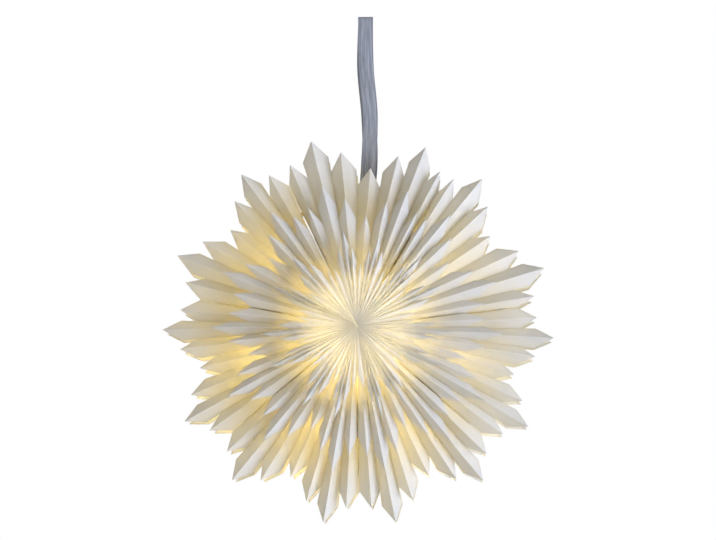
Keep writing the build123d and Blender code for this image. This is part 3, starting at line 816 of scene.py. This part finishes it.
def globe_profile():
    """The globe's outline from its mouth to the middle of its foot, as (radius, height)."""
    points = [(NECK_R, GLOBE_TOP), (NECK_R, GLOBE_TOP - NECK_HIGH)]
    flat = GLOBE_R - ROUND
    for step in range(1, ROUND_STEPS + 1):  # shoulder
        turn = math.radians(90) * step / ROUND_STEPS
        points.append((flat + ROUND * math.sin(turn), GLOBE_TOP - NECK_HIGH - ROUND * (1 - math.cos(turn))))
    for step in range(ROUND_STEPS + 1):  # foot
        turn = math.radians(90) * step / ROUND_STEPS
        points.append((GLOBE_R - ROUND * (1 - math.cos(turn)), GLOBE_FOOT + ROUND * (1 - math.sin(turn))))
    return points + [(0.0, GLOBE_FOOT)]


def spin_globe():
    """The profile extruded point by point and spun round the lamp's axis."""
    profile = globe_profile()
    bpy.ops.object.select_all(action="DESELECT")
    bpy.ops.mesh.primitive_plane_add(size=1 * MM, location=(0, 0, 0))
    globe = bpy.context.object
    globe.name = "frosted_globe"
    bpy.ops.object.mode_set(mode="EDIT")
    bpy.ops.mesh.select_all(action="SELECT")
    bpy.ops.mesh.merge(type="CENTER")
    bpy.ops.transform.translate(value=(profile[0][0], 0, profile[0][1]))
    for before, here in zip(profile, profile[1:]):
        step = (here[0] - before[0], 0, here[1] - before[1])
        bpy.ops.mesh.extrude_region_move(TRANSFORM_OT_translate={"value": step})
    bpy.ops.mesh.select_all(action="SELECT")
    bpy.ops.mesh.spin(steps=SPIN_STEPS, angle=math.tau, center=(0, 0, 0), axis=(0, 0, 1))
    bpy.ops.mesh.select_all(action="SELECT")
    bpy.ops.mesh.remove_doubles(threshold=0.01 * MM)
    bpy.ops.mesh.normals_make_consistent(inside=False)
    bpy.ops.object.mode_set(mode="OBJECT")
    wall = globe.modifiers.new("wall", "SOLIDIFY")
    wall.thickness = GLOBE_WALL
    wall.offset = -1
    bpy.ops.object.modifier_apply(modifier=wall.name)
    bpy.ops.object.shade_smooth_by_angle(angle=math.radians(40))
    return globe


globe = spin_globe()
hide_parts("lamp_diffuser")
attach(globe, "lamp")
print("globe", len(globe.data.polygons), "faces", [round(1000 * x, 1) for x in globe.dimensions])

# %% [markdown]
# ## Frosted polypropylene
#
# The lit globe is milky polypropylene with a fine moulded frost. It glows by itself, brightest
# round the LED at its top, so its emission falls off a little downwards.

# %% Globe material
FROST = 0.8 * MM
GLOW_FOOT, GLOW_TOP = 2.0, 3.2

frosted = new_material("frosted_polypropylene_lit")
on_globe = add_node(frosted, "ShaderNodeTexCoord").outputs["Object"]
globe_split = add_node(frosted, "ShaderNodeSeparateXYZ", Vector=on_globe)
glow_at = add_node(frosted, "ShaderNodeMapRange", Value=globe_split.outputs[2],
                   From_Min=GLOBE_FOOT, From_Max=GLOBE_TOP, To_Min=GLOW_FOOT, To_Max=GLOW_TOP)
frost = add_node(frosted, "ShaderNodeTexNoise", Vector=on_globe, Scale=1 / FROST, Detail=2.0)
frost_bump = add_node(frosted, "ShaderNodeBump", Height=frost.outputs["Fac"],
                      Strength=0.2, Distance=0.05 * MM)
globe_shader = add_node(frosted, "ShaderNodeBsdfPrincipled", Base_Color=linear("#f6f0e2"), Roughness=0.55,
                        Normal=frost_bump.outputs["Normal"], Emission_Color=linear("#ffeaa6"),
                        Emission_Strength=glow_at.outputs[0])
add_node(frosted, "ShaderNodeOutputMaterial", Surface=globe_shader.outputs[0])
wear(globe.data, frosted)
print("frosted globe with", len(frosted.node_tree.nodes), "nodes")

# %% [markdown]
# ## The pieces inside
#
# Most of what follows shows only between the folds, from above, or with the cover lifted. One
# function makes a material from two close tones that wander with the grain of the stuff, a
# roughness, and a fine relief. Each entry says what the eye gets from it.


# %% Plain materials
def grained(name, low, high, rough, metal=0.0, grain=1.0, stretch=(1, 1, 1), relief=0.1):
    """A material of two tones with a grain this many millimetres wide, stretched along an axis."""
    made = new_material(name)
    at = add_node(made, "ShaderNodeTexCoord").outputs["Object"]
    at = add_node(made, "ShaderNodeMapping", Vector=at, Scale=stretch).outputs[0]
    spots = add_node(made, "ShaderNodeTexNoise", Vector=at, Scale=1 / (grain * MM), Detail=4.0, Roughness=0.6)
    spots = spots.outputs["Fac"]
    colour = add_node(made, "ShaderNodeMix", MIX_COLOURS, Factor=spots, i6=linear(low), i7=linear(high))
    worn = add_node(made, "ShaderNodeMapRange", Value=spots, To_Min=rough - 0.08, To_Max=rough + 0.08)
    bump = add_node(made, "ShaderNodeBump", Height=spots, Strength=relief, Distance=0.1 * MM)
    shader = add_node(made, "ShaderNodeBsdfPrincipled", Base_Color=colour.outputs["Result"],
                      Roughness=worn.outputs[0], Metallic=metal, Normal=bump.outputs["Normal"])
    add_node(made, "ShaderNodeOutputMaterial", Surface=shader.outputs[0])
    return made


def dress(material, *nodes):
    """Gives a material to pieces of the construction."""
    for node in nodes:
        wear(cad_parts[node].data, material)


# pale sanded birch: long fine pores along the rod
dress(grained("sanded_birch", "#d9bf93", "#ead8b4", 0.55, grain=0.5, stretch=(0.06, 1, 1), relief=0.25),
      "hanging_rod")
# soft white polyethylene caps: slightly waxy
dress(grained("white_polyethylene_cap", "#eceae4", "#f4f3ee", 0.42, grain=3.0), "rod_end_caps")
# nickel-plated spring steel: soft grey gleam with brushed lines
dress(grained("nickel_plated_spring_steel", "#b9b8b4", "#d5d4d0", 0.32, metal=1.0, grain=0.25,
              stretch=(1, 1, 0.08)), "closing_clip_front", "closing_clip_back")
# moulded white ABS: fine spark-eroded skin, half matt
dress(grained("white_abs_moulded", "#e6e6e2", "#efefec", 0.48, grain=0.4, relief=0.15),
      "lamp_cap", "battery_tube", "battery_cover")
# grey ABS of the neck and the switch knob: a shade glossier from handling
dress(grained("grey_abs_moulded", "#8b8e92", "#999ca0", 0.4, grain=0.4, relief=0.12),
      "lamp_neck", "switch_slider")
# shrunk PVC jacket of the cells: smooth, glossy, dark blue-grey
dress(grained("cell_jacket_shrunk_pvc", "#2f3a4a", "#364253", 0.24, grain=6.0, relief=0.03),
      *[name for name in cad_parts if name.startswith("battery_cell")])
# bright nickel of contacts and springs
dress(grained("nickel_plated_contact_steel", "#c6c4be", "#dedcd6", 0.22, metal=1.0, grain=0.6, relief=0.04),
      "upper_contacts", "battery_springs")
# white solder mask over glass cloth: faint weave
dress(grained("circuit_board_white_mask", "#e9ece8", "#f3f5f1", 0.35, grain=0.7, relief=0.08), "led_board")
# cured phosphor resin: opaque yellow, a little glossy
dress(grained("led_phosphor_resin", "#e8c53a", "#f0d255", 0.28, grain=0.8, relief=0.05), "led_chip")
print("materials so far", len(bpy.data.materials))

# %% [markdown]
# The two leads are one piece of the construction, so their red and black insulation is told apart
# by the side of the lamp's axis they lie on.

# %% Lead insulation
leads = new_material("lead_insulation_red_and_black")
lead_at = add_node(leads, "ShaderNodeTexCoord").outputs["Object"]
lead_split = add_node(leads, "ShaderNodeSeparateXYZ", Vector=lead_at)
lead_side = add_node(leads, "ShaderNodeMath", {"operation": "GREATER_THAN"}, i0=lead_split.outputs[0], i1=0.0)
lead_tone = add_node(leads, "ShaderNodeMix", MIX_COLOURS, Factor=lead_side.outputs[0],
                     i6=linear("#222325"), i7=linear("#b3261e"))
lead_skin = add_node(leads, "ShaderNodeTexNoise", Vector=lead_at, Scale=1 / (0.5 * MM), Detail=2.0)
lead_rough = add_node(leads, "ShaderNodeMapRange", Value=lead_skin.outputs["Fac"], To_Min=0.32, To_Max=0.46)
lead_shader = add_node(leads, "ShaderNodeBsdfPrincipled", Base_Color=lead_tone.outputs["Result"],
                       Roughness=lead_rough.outputs[0])
add_node(leads, "ShaderNodeOutputMaterial", Surface=lead_shader.outputs[0])
dress(leads, "lamp_leads")
print("lead insulation with", len(leads.node_tree.nodes), "nodes")
